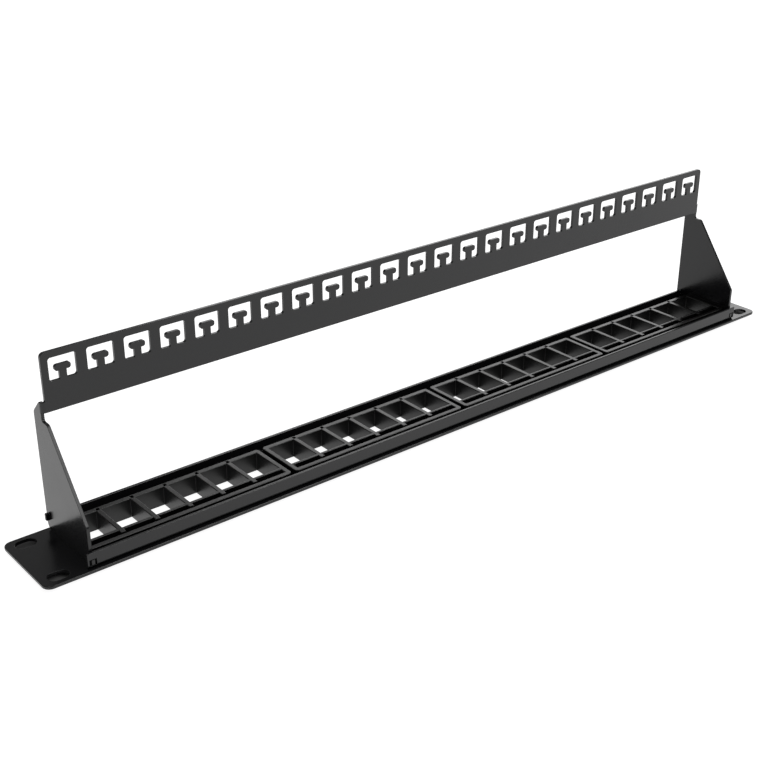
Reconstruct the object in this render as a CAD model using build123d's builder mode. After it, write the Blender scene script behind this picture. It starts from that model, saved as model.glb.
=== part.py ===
"""Rack patch panel with open keystone ports and a rear cable bar.

Millimetres. The panel lies on the fronts of its port bezels: X runs along its length, Y across
its height, and +Z points to the rear. The origin is the middle of the plane of the bezel fronts.
"""

import os

from build123d import *

# Face plate
PANEL_LENGTH = 482.6
PANEL_HEIGHT = 44.0
PLATE_T = 1.6
BEZEL_T = 2.0
PLATE_REAR_Z = BEZEL_T + PLATE_T
EAR_CORNER_R = 4.0
RACK_SPACING_X = 465.1
RACK_SPACING_Y = 31.75
RACK_SLOT_LENGTH = 10.0
RACK_SLOT_WIDTH = 7.0

# Port modules
MODULE_COUNT = 4
MODULE_PITCH = 109.1
PORTS_PER_MODULE = 6
PORT_PITCH = 17.4
PORT_WIDTH = 14.9
PORT_LOW_Y = -4.6
WALL_T = PORT_PITCH - PORT_WIDTH
MODULE_LENGTH = PORTS_PER_MODULE * PORT_PITCH + WALL_T
MODULE_LOW_Y = -15.4
MODULE_TOP_Y = 14.4
MODULE_REAR_Z = 9.9
MODULE_FLOOR_Z = 4.6
MODULE_CORNER_R = 1.8
NOSE_LENGTH = MODULE_LENGTH - 2.4
NOSE_LOW_Y = -9.2
NOSE_TOP_Y = 13.3
NOSE_GAP = 0.2
POCKET_TOP_Y = 11.7
LEDGE_Y = -7.9
LEDGE_T = 1.4
LATCH_SLOT_END_Y = -13.0
RIM_SLIT_WIDTH = 1.6
RIM_SLIT_LOW_Y = 11.6
RIM_SLIT_TOP_Y = 13.6
RIM_SLIT_DEPTH = 1.6
WALL_NOTCH_LOW_Y = -13.3
WALL_NOTCH_TOP_Y = -11.7
WALL_NOTCH_DEPTH = 1.8

# Rails: two steel angles on the back of the face plate
RAIL_OUTER_Y = 20.4
RAIL_T = 1.5
RAIL_TOP_Z = 11.1
RAIL_FOOT_END_Y = 16.3
RAIL_HEEL_R = 2.0
RAIL_FOOT_END_X = 216.8
FRONT_RAIL_END_X = 220.7
BACK_RAIL_END_X = 217.0

# Cable bracket: one bent sheet with a slotted bar and two arms
SHEET_T = 1.5
ARM_OUTER_X = 218.8
BEND_R = 2.0
BAR_END_X = ARM_OUTER_X - BEND_R
BAR_FRONT_Y = 13.0
BAR_BOTTOM_Z = 64.3
BAR_TOP_Z = 92.0
BAR_CORNER_R = 2.2
BEND_TOP_Z = 69.3
ARM_BACK_Y = 21.7
ARM_FRONT_Y = -18.6
ARM_FRONT_TOP_Z = 22.4
ARM_SHOULDER_Y = 9.6
ARM_SHOULDER_Z = 60.3
ARM_TOP_END_Y = 15.4
ARM_BACK_TOP_Z = 62.9
NECK_FRONT_Y = 14.2
ARM_BACK_BOTTOM_R = 3.5

# Tabs that hold the arms in the rails
HOOK_LOW_Z = 5.2
HOOK_TOP_Z = 7.6
HOOK_WINDOW_GAP = 0.3
HOOK_WINDOW_INNER_X = 216.4
HOOK_WINDOW_END_X = 219.9
STUB_LOW_Z = 9.0
STUB_END_X = 220.5
STUB_GAP = 0.2
NIB_TOP_Z = 12.3
NIB_INNER_X = ARM_OUTER_X + 0.15

# Cable-tie slots in the bar
TIE_COUNT = 24
TIE_PITCH = 18.0
TIE_WIDTH = 13.0
TIE_LOW_Z = 78.1
TIE_TOP_Z = 88.9
TIE_CORNER_R = 1.3
TIE_HEAD_WIDTH = 7.6
TIE_HEAD_LOW_Z = 82.1
TIE_HEAD_TOP_Z = 85.0
TIE_STEM_WIDTH = 3.4
TIE_HEAD_R = 1.2

EDGE = 0.25
BEZEL_EDGE = 0.4

os.makedirs("parts", exist_ok=True)


def save(part, name):
    """Label a finished piece and write its STEP file."""
    part.label = name
    export_step(part, f"parts/{name}.step")


def module_centre_x(index):
    """Centre of a port module along the panel."""
    return (index - (MODULE_COUNT - 1) / 2) * MODULE_PITCH


# ---- face plate: a flat sheet with four mounting slots and one opening per module ----
with BuildPart() as face_plate:
    with BuildSketch(Plane.XY.offset(BEZEL_T)):
        RectangleRounded(PANEL_LENGTH, PANEL_HEIGHT, EAR_CORNER_R)
        with GridLocations(RACK_SPACING_X, RACK_SPACING_Y, 2, 2):
            SlotOverall(RACK_SLOT_LENGTH, RACK_SLOT_WIDTH, mode=Mode.SUBTRACT)
        window_height = NOSE_TOP_Y - NOSE_LOW_Y + 2 * NOSE_GAP
        with Locations((0, (NOSE_TOP_Y + NOSE_LOW_Y) / 2)):
            with GridLocations(MODULE_PITCH, 0, MODULE_COUNT, 1):
                Rectangle(NOSE_LENGTH + 2 * NOSE_GAP, window_height, mode=Mode.SUBTRACT)
    extrude(amount=PLATE_T)
    rims = face_plate.faces().filter_by(Axis.Z)
    chamfer(rims.sort_by(Axis.Z)[-1].outer_wire().edges(), EDGE)
    chamfer(face_plate.faces().sort_by(Axis.Z)[0].outer_wire().edges(), EDGE)
save(face_plate.part, "face_plate")


# ---- rails: bent angles, the front one with a window at each end for the bracket's hooks ----
def rail_outline(side):
    """L section of a rail in the YZ plane; side is -1 at the front and 1 at the back."""
    heel = (side * RAIL_OUTER_Y, PLATE_REAR_Z)
    inner_y = side * (RAIL_OUTER_Y - RAIL_T)
    foot_y = side * RAIL_FOOT_END_Y
    foot_z = PLATE_REAR_Z + RAIL_T
    with BuildSketch(Plane.YZ) as section:
        with BuildLine():
            Polyline(
                heel,
                (side * RAIL_OUTER_Y, RAIL_TOP_Z),
                (inner_y, RAIL_TOP_Z),
                (inner_y, foot_z),
                (foot_y, foot_z),
                (foot_y, PLATE_REAR_Z),
                close=True,
            )
        make_face()
        corner = section.vertices().sort_by_distance(Vector(*heel))[0]
        fillet(corner, RAIL_HEEL_R)
    return section.sketch


front_section = rail_outline(-1)
with BuildPart() as front_rail:
    extrude(front_section, amount=FRONT_RAIL_END_X, both=True)
    # the foot stops short of the arms, so only the flange runs on to the ends
    for side in (-1, 1):
        foot_x = side * (RAIL_FOOT_END_X + FRONT_RAIL_END_X + 1) / 2
        with Locations((foot_x, -(RAIL_OUTER_Y - RAIL_T) / 2, PLATE_REAR_Z + 5)):
            Box(
                FRONT_RAIL_END_X + 1 - RAIL_FOOT_END_X,
                RAIL_OUTER_Y - RAIL_T,
                10,
                mode=Mode.SUBTRACT,
            )
        window_x = side * (HOOK_WINDOW_INNER_X + HOOK_WINDOW_END_X) / 2
        with Locations((window_x, -RAIL_OUTER_Y, (HOOK_LOW_Z + HOOK_TOP_Z) / 2)):
            Box(
                HOOK_WINDOW_END_X - HOOK_WINDOW_INNER_X,
                4 * RAIL_T,
                HOOK_TOP_Z - HOOK_LOW_Z + 2 * HOOK_WINDOW_GAP,
                mode=Mode.SUBTRACT,
            )
    chamfer(front_rail.edges().filter_by(Axis.X).group_by(Axis.Z)[-1], EDGE)
save(front_rail.part, "front_rail")

back_section = rail_outline(1)
with BuildPart() as back_rail:
    extrude(back_section, amount=BACK_RAIL_END_X, both=True)
    chamfer(back_rail.edges().filter_by(Axis.X).group_by(Axis.Z)[-1], EDGE)
    # a stub at each end passes through the arm, and its nib turns up outside
    for side in (-1, 1):
        stub_x = side * (BACK_RAIL_END_X + STUB_END_X - 1) / 2
        with Locations((stub_x, RAIL_OUTER_Y - RAIL_T / 2, (STUB_LOW_Z + RAIL_TOP_Z - EDGE) / 2)):
            Box(STUB_END_X - BACK_RAIL_END_X + 1, RAIL_T, RAIL_TOP_Z - EDGE - STUB_LOW_Z)
        nib_x = side * (NIB_INNER_X + STUB_END_X) / 2
        with Locations((nib_x, RAIL_OUTER_Y - RAIL_T / 2, (RAIL_TOP_Z - 2 + NIB_TOP_Z) / 2)):
            Box(STUB_END_X - NIB_INNER_X, RAIL_T, NIB_TOP_Z - RAIL_TOP_Z + 2)
    ends = back_rail.faces().filter_by(Axis.X)
    chamfer(ends.sort_by(Axis.X)[0].edges(), EDGE)
    chamfer(back_rail.faces().filter_by(Axis.X).sort_by(Axis.X)[-1].edges(), EDGE)
save(back_rail.part, "back_rail")


# ---- port modules: moulded frames, each with six keystone ports ----
def port_xs():
    """Port centres within one module."""
    return [(n - (PORTS_PER_MODULE - 1) / 2) * PORT_PITCH for n in range(PORTS_PER_MODULE)]


def wall_xs():
    """Middles of the walls between neighbouring ports of one module."""
    return [x + PORT_PITCH / 2 for x in port_xs()[:-1]]


def port_module(centre_x):
    """One six-port frame: bezel in the face plate, body with pockets, ledges and latch slots."""
    with BuildPart() as module:
        with BuildSketch(Plane.XY.offset(PLATE_REAR_Z)):
            with Locations((centre_x, (MODULE_TOP_Y + MODULE_LOW_Y) / 2)):
                RectangleRounded(MODULE_LENGTH, MODULE_TOP_Y - MODULE_LOW_Y, MODULE_CORNER_R)
        extrude(amount=MODULE_REAR_Z - PLATE_REAR_Z)
        chamfer(module.faces().sort_by(Axis.Z)[-1].edges(), EDGE)

        # nose through the face plate, standing out in front of it as the bezel
        with BuildSketch(Plane.XY):
            with Locations((centre_x, (NOSE_TOP_Y + NOSE_LOW_Y) / 2)):
                Rectangle(NOSE_LENGTH, NOSE_TOP_Y - NOSE_LOW_Y)
        extrude(amount=PLATE_REAR_Z + 0.5)
        chamfer(module.faces().sort_by(Axis.Z)[0].edges(), BEZEL_EDGE)

        # openings in the face
        port_height = POCKET_TOP_Y - PORT_LOW_Y
        with BuildSketch(Plane.XY):
            with Locations(*[(centre_x + x, (POCKET_TOP_Y + PORT_LOW_Y) / 2) for x in port_xs()]):
                Rectangle(PORT_WIDTH, port_height)
        extrude(amount=MODULE_REAR_Z, mode=Mode.SUBTRACT)

        # pockets for the jacks, taller than the openings, and the latch slots below the ledges
        pocket_height = POCKET_TOP_Y - LEDGE_Y
        slot_top_y = LEDGE_Y - LEDGE_T
        slot_height = slot_top_y - LATCH_SLOT_END_Y
        with BuildSketch(Plane.XY.offset(MODULE_FLOOR_Z)):
            with Locations(*[(centre_x + x, (POCKET_TOP_Y + LEDGE_Y) / 2) for x in port_xs()]):
                Rectangle(PORT_WIDTH, pocket_height)
            with Locations(*[(centre_x + x, (slot_top_y + LATCH_SLOT_END_Y) / 2) for x in port_xs()]):
                Rectangle(PORT_WIDTH, slot_height)
        extrude(amount=MODULE_REAR_Z, mode=Mode.SUBTRACT)

        # lead-in along the top of the ledges and pockets
        rear_face = module.faces().sort_by(Axis.Z)[-1]
        inner_edges = [edge for wire in rear_face.inner_wires() for edge in wire.edges()]
        chamfer(inner_edges, EDGE)

        # a blind slit in the far rim and a notch by the near rim, one of each at every wall
        slit_y = (RIM_SLIT_LOW_Y + RIM_SLIT_TOP_Y) / 2
        with Locations(*[(centre_x + x, slit_y, MODULE_REAR_Z) for x in wall_xs()]):
            Box(
                RIM_SLIT_WIDTH,
                RIM_SLIT_TOP_Y - RIM_SLIT_LOW_Y,
                2 * RIM_SLIT_DEPTH,
                mode=Mode.SUBTRACT,
            )
        notch_y = (WALL_NOTCH_LOW_Y + WALL_NOTCH_TOP_Y) / 2
        with Locations(*[(centre_x + x, notch_y, MODULE_REAR_Z) for x in wall_xs()]):
            Box(
                WALL_T + 1,
                WALL_NOTCH_TOP_Y - WALL_NOTCH_LOW_Y,
                2 * WALL_NOTCH_DEPTH,
                mode=Mode.SUBTRACT,
            )
    return module.part


for number in range(MODULE_COUNT):
    save(port_module(module_centre_x(number)), f"port_module_{number + 1}")


# ---- cable bracket ----
def arm_outline():
    """Side view of an arm, in the YZ plane."""
    neck_y = BAR_FRONT_Y + BEND_R
    with BuildSketch(Plane.YZ) as outline:
        with BuildLine():
            Polyline(
                (ARM_FRONT_Y, PLATE_REAR_Z),
                (ARM_BACK_Y, PLATE_REAR_Z),
                (ARM_BACK_Y, ARM_BACK_TOP_Z),
                (ARM_TOP_END_Y, BEND_TOP_Z),
                (neck_y, BEND_TOP_Z),
                (neck_y, BAR_BOTTOM_Z),
                (NECK_FRONT_Y, BAR_BOTTOM_Z),
                (NECK_FRONT_Y, ARM_SHOULDER_Z),
                (ARM_SHOULDER_Y, ARM_SHOULDER_Z),
                (ARM_FRONT_Y, ARM_FRONT_TOP_Z),
                close=True,
            )
        make_face()

        def corner(y, z):
            return outline.vertices().sort_by_distance(Vector(y, z))[0]

        fillet(corner(ARM_BACK_Y, ARM_BACK_TOP_Z), 3.0)
        fillet(corner(ARM_BACK_Y, PLATE_REAR_Z), ARM_BACK_BOTTOM_R)
        fillet(corner(ARM_SHOULDER_Y, ARM_SHOULDER_Z), 2.0)
        fillet(corner(NECK_FRONT_Y, ARM_SHOULDER_Z), 1.2)
        fillet(corner(ARM_FRONT_Y, ARM_FRONT_TOP_Z), 2.5)
    return outline.sketch


def tie_slot():
    """One cable-tie slot: a rounded window around a T-shaped tongue, in the bar's XZ plane."""
    height = TIE_TOP_Z - TIE_LOW_Z
    middle_z = (TIE_TOP_Z + TIE_LOW_Z) / 2
    with BuildSketch(Plane.XY) as slot:
        RectangleRounded(TIE_WIDTH, height, TIE_CORNER_R)
        with Locations((0, (TIE_HEAD_LOW_Z + TIE_HEAD_TOP_Z) / 2 - middle_z)):
            RectangleRounded(
                TIE_HEAD_WIDTH, TIE_HEAD_TOP_Z - TIE_HEAD_LOW_Z, TIE_HEAD_R, mode=Mode.SUBTRACT
            )
        with Locations((0, (TIE_LOW_Z + TIE_HEAD_LOW_Z + 1) / 2 - middle_z)):
            Rectangle(TIE_STEM_WIDTH, TIE_HEAD_LOW_Z + 1 - TIE_LOW_Z, mode=Mode.SUBTRACT)
    return slot.sketch


arm_section = arm_outline()
tie_section = tie_slot()
bar_plane = Plane(origin=(0, BAR_FRONT_Y, (TIE_TOP_Z + TIE_LOW_Z) / 2), x_dir=(1, 0, 0), z_dir=(0, -1, 0))

with BuildPart() as cable_bracket:
    # bar
    with BuildSketch(bar_plane):
        with Locations((0, (BAR_TOP_Z + BAR_BOTTOM_Z) / 2 - bar_plane.origin.Z)):
            Rectangle(2 * BAR_END_X, BAR_TOP_Z - BAR_BOTTOM_Z)
    extrude(amount=-SHEET_T)
    top_corners = cable_bracket.edges().filter_by(Axis.Y).group_by(Axis.Z)[-1]
    fillet(top_corners, BAR_CORNER_R)
    with BuildSketch(bar_plane):
        with GridLocations(TIE_PITCH, 0, TIE_COUNT, 1):
            add(tie_section)
    extrude(amount=-SHEET_T, mode=Mode.SUBTRACT)

    for side in (-1, 1):
        # quarter bend from the bar into the arm
        centre = (side * BAR_END_X, BAR_FRONT_Y + BEND_R)
        quarter = 180 if side < 0 else 270
        with BuildSketch(Plane.XY.offset(BAR_BOTTOM_Z)):
            with BuildLine():
                CenterArc(centre, BEND_R, quarter, 90)
                CenterArc(centre, BEND_R - SHEET_T, quarter, 90)
                Line((side * BAR_END_X, BAR_FRONT_Y), (side * BAR_END_X, BAR_FRONT_Y + SHEET_T))
                Line(
                    (side * ARM_OUTER_X, centre[1]),
                    (side * (ARM_OUTER_X - SHEET_T), centre[1]),
                )
            make_face()
        extrude(amount=BEND_TOP_Z - BAR_BOTTOM_Z)

        # arm
        arm_face = Location((side * (ARM_OUTER_X - SHEET_T / 2), 0, 0)) * arm_section
        extrude(arm_face, amount=SHEET_T / 2, both=True)

        # slot for the back rail's stub
        with Locations((side * ARM_OUTER_X, RAIL_OUTER_Y - RAIL_T / 2, (STUB_LOW_Z + RAIL_TOP_Z) / 2)):
            Box(
                4 * SHEET_T,
                RAIL_T + 2 * STUB_GAP,
                RAIL_TOP_Z - STUB_LOW_Z + 2 * STUB_GAP,
                mode=Mode.SUBTRACT,
            )

        # hook in the front rail's window
        hook_x = side * (ARM_OUTER_X - SHEET_T / 2)
        hook_length = RAIL_OUTER_Y + ARM_FRONT_Y + 0.5
        with Locations((hook_x, ARM_FRONT_Y + 0.5 - hook_length / 2, (HOOK_LOW_Z + HOOK_TOP_Z) / 2)):
            Box(SHEET_T, hook_length, HOOK_TOP_Z - HOOK_LOW_Z)
save(cable_bracket.part, "cable_bracket")
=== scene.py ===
"""Blender scene for the rack patch panel: materials, floor, light and camera.

Metres, in the CAD model's frame: the panel lies on the fronts of its port bezels, X along its
length, Y across its height and +Z out of its rear.
"""

import bpy
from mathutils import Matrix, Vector

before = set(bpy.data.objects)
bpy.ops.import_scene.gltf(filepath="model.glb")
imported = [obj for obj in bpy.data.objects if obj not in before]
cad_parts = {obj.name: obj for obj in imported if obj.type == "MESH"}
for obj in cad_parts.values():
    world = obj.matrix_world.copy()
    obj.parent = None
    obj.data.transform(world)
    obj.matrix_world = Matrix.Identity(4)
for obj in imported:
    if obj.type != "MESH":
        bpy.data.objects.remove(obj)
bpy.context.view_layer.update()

# ---- camera ----
CAMERA_AT = Vector((-0.41544, -0.45971, 0.31522))
CAMERA_LOOKS_AT = Vector((-0.04426, 0.0, 0.03309))
CAMERA_LENS_MM = 61.33
SENSOR_MM = 36.0

# ---- light ----
SURROUND_LIGHT = 0.28
OVERHEAD_POWER = 0.5
OVERHEAD_ANGLE = 0.6

# ---- table ----
TABLE_SIZE = 30.0
TABLE_Z = -0.0001
TABLE_LIGHT = 0.92
TABLE_GREY = 0.35
# painted shade: dark grey sheets just above the glowing table stand in for the shade under the face
# plate
PAINTED_SHADE_Z = 0.0001
PAINTED_SHADE_GREY = 0.06
MATT = 0.9

# ---- nodes by material ----
STEEL_NODES = ("face_plate", "front_rail", "back_rail", "cable_bracket")
PLASTIC_NODES = ("port_module_1", "port_module_2", "port_module_3", "port_module_4")


def new_material(name):
    """An empty node material with a Principled shader wired to its output."""
    material = bpy.data.materials.new(name)
    material.use_nodes = True
    material.node_tree.nodes.clear()
    output = material.node_tree.nodes.new("ShaderNodeOutputMaterial")
    surface = material.node_tree.nodes.new("ShaderNodeBsdfPrincipled")
    material.node_tree.links.new(surface.outputs["BSDF"], output.inputs["Surface"])
    return material, surface


def ramp(material, source, stops):
    """Map a value through a colour ramp of (position, grey) stops."""
    node = material.node_tree.nodes.new("ShaderNodeValToRGB")
    elements = node.color_ramp.elements
    while len(elements) < len(stops):
        elements.new(0.5)
    for element, (position, grey) in zip(elements, stops):
        element.position = position
        element.color = (grey, grey, grey, 1.0)
    material.node_tree.links.new(source, node.inputs["Fac"])
    return node.outputs["Color"]


def noise(material, scale, detail=2.0, roughness=0.5):
    """Noise in object coordinates; scale is in cells per metre."""
    coordinates = material.node_tree.nodes.new("ShaderNodeTexCoord")
    node = material.node_tree.nodes.new("ShaderNodeTexNoise")
    node.inputs["Scale"].default_value = scale
    node.inputs["Detail"].default_value = detail
    node.inputs["Roughness"].default_value = roughness
    material.node_tree.links.new(coordinates.outputs["Object"], node.inputs["Vector"])
    return node.outputs["Fac"]


def bump(material, height, distance, strength, normal=None):
    """A bump of the given height in metres; returns its normal."""
    node = material.node_tree.nodes.new("ShaderNodeBump")
    node.inputs["Distance"].default_value = distance
    node.inputs["Strength"].default_value = strength
    material.node_tree.links.new(height, node.inputs["Height"])
    if normal is not None:
        material.node_tree.links.new(normal, node.inputs["Normal"])
    return node.outputs["Normal"]


def soft_edges(material, radius):
    """Rounded-edge normal for the sharp corners that coating or moulding softens."""
    node = material.node_tree.nodes.new("ShaderNodeBevel")
    node.samples = 6
    node.inputs["Radius"].default_value = radius
    return node.outputs["Normal"]


def facing_rear(material):
    """1 on faces that look out of the panel's rear, 0 on the walls."""
    geometry = material.node_tree.nodes.new("ShaderNodeNewGeometry")
    split = material.node_tree.nodes.new("ShaderNodeSeparateXYZ")
    material.node_tree.links.new(geometry.outputs["True Normal"], split.inputs["Vector"])
    return ramp(material, split.outputs["Z"], ((0.6, 0.0), (0.9, 1.0)))


def blend(material, factor, first, second):
    """Mix two values by a factor."""
    node = material.node_tree.nodes.new("ShaderNodeMix")
    links = material.node_tree.links
    links.new(factor, node.inputs["Factor"])
    links.new(first, node.inputs["A"])
    links.new(second, node.inputs["B"])
    return node.outputs["Result"]


def powder_coat():
    """Semi-gloss black powder coat on steel: fine orange peel and a little haze."""
    material, surface = new_material("coated_steel")
    links = material.node_tree.links
    surface.inputs["Base Color"].default_value = (0.005, 0.005, 0.0056, 1.0)
    surface.inputs["IOR"].default_value = 1.44
    haze = ramp(material, noise(material, 60.0, 3.0), ((0.3, 0.19), (0.7, 0.26)))
    links.new(haze, surface.inputs["Roughness"])
    peel = bump(material, noise(material, 1100.0, 2.0), 0.00003, 0.4, soft_edges(material, 0.0003))
    grit = bump(material, noise(material, 3800.0, 1.0), 0.00001, 0.5, peel)
    links.new(grit, surface.inputs["Normal"])
    return material


def moulded_plastic():
    """Black satin moulded plastic with a fine grain, a touch rougher on the walls."""
    material, surface = new_material("module_plastic")
    links = material.node_tree.links
    surface.inputs["Base Color"].default_value = (0.001, 0.001, 0.001, 1.0)
    surface.inputs["IOR"].default_value = 1.47
    gloss = ramp(material, noise(material, 90.0, 2.0), ((0.3, 0.28), (0.7, 0.34)))
    texture = ramp(material, noise(material, 90.0, 2.0), ((0.3, 0.3), (0.7, 0.36)))
    links.new(blend(material, facing_rear(material), texture, gloss), surface.inputs["Roughness"])
    grain = bump(material, noise(material, 2600.0, 2.0), 0.00002, 0.6, soft_edges(material, 0.0003))
    links.new(grain, surface.inputs["Normal"])
    return material


def dress(names, material):
    """Give every slot of the named CAD nodes this material."""
    for name in names:
        for slot in bpy.data.objects[name].material_slots:
            slot.material = material


def floor():
    """A pale matt light table under the panel, lit from within so that it stays even."""
    bpy.ops.mesh.primitive_plane_add(size=TABLE_SIZE, location=(0.0, 0.0, TABLE_Z))
    plane = bpy.context.object
    plane.name = "floor"
    material, surface = new_material("light_table")
    surface.inputs["Base Color"].default_value = (TABLE_GREY, TABLE_GREY, TABLE_GREY, 1.0)
    surface.inputs["Emission Color"].default_value = (1.0, 1.0, 1.0, 1.0)
    surface.inputs["Emission Strength"].default_value = TABLE_LIGHT
    surface.inputs["Roughness"].default_value = MATT
    surface.inputs["Specular IOR Level"].default_value = 0.1
    plane.data.materials.append(material)


def painted_shade_sheet(name, left, right, near, far):
    """Painted shade: a dark grey sheet just above the lit table, standing in for the shade under
    the face plate.
    """
    middle = ((left + right) / 2, (near + far) / 2, PAINTED_SHADE_Z)
    bpy.ops.mesh.primitive_plane_add(size=1.0, location=middle)
    plane = bpy.context.object
    plane.name = name
    plane.scale = (right - left, far - near, 1.0)
    material, surface = new_material(name)
    surface.inputs["Base Color"].default_value = (PAINTED_SHADE_GREY, PAINTED_SHADE_GREY, PAINTED_SHADE_GREY, 1.0)
    surface.inputs["Roughness"].default_value = MATT
    plane.data.materials.append(material)


def area_light(name, place, target, width, height, power):
    """A rectangular softbox at a place, aimed at a target."""
    data = bpy.data.lights.new(name, "AREA")
    data.shape = "RECTANGLE"
    data.size = width
    data.size_y = height
    data.energy = power
    lamp = bpy.data.objects.new(name, data)
    lamp.location = place
    lamp.rotation_euler = (Vector(target) - Vector(place)).to_track_quat("-Z", "Y").to_euler()
    bpy.context.scene.collection.objects.link(lamp)


def studio():
    """Dim surroundings, a soft overhead light and three softboxes."""
    world = bpy.data.worlds.new("studio")
    world.use_nodes = True
    background = world.node_tree.nodes["Background"]
    background.inputs["Color"].default_value = (1.0, 1.0, 1.0, 1.0)
    background.inputs["Strength"].default_value = SURROUND_LIGHT
    bpy.context.scene.world = world

    data = bpy.data.lights.new("overhead", "SUN")
    data.energy = OVERHEAD_POWER
    data.angle = OVERHEAD_ANGLE
    bpy.context.scene.collection.objects.link(bpy.data.objects.new("overhead", data))

    area_light("back_box", (1.75, 1.5, 0.9), (0.0, 0.0, 0.0), 2.0, 1.1, 14.0)
    area_light("front_box", (0.45, -1.35, 1.3), (-0.1, 0.0, 0.0), 0.7, 0.7, 5.5)
    area_light("right_box", (1.0, -0.7, 1.6), (0.35, -0.2, 0.0), 0.8, 0.8, 11.0)


def camera():
    """The photograph's view."""
    data = bpy.data.cameras.new("camera")
    data.lens = CAMERA_LENS_MM
    data.sensor_width = SENSOR_MM
    data.clip_start = 0.01
    data.clip_end = 50.0
    view = bpy.data.objects.new("camera", data)
    view.location = CAMERA_AT
    view.rotation_euler = (CAMERA_LOOKS_AT - CAMERA_AT).to_track_quat("-Z", "Y").to_euler()
    bpy.context.scene.collection.objects.link(view)
    bpy.context.scene.camera = view


dress(STEEL_NODES, powder_coat())
dress(PLASTIC_NODES, moulded_plastic())
floor()
# painted shade: dark sheets under both ears and along the far edge of the face plate
painted_shade_sheet("shade_left_ear", -0.2378, -0.2172, -0.018, 0.0224)
painted_shade_sheet("shade_right_ear", 0.2172, 0.2418, -0.018, 0.0224)
painted_shade_sheet("shade_far_edge", -0.2172, 0.2172, 0.0136, 0.0224)
studio()
camera()
bpy.context.scene.view_settings.view_transform = "Standard"
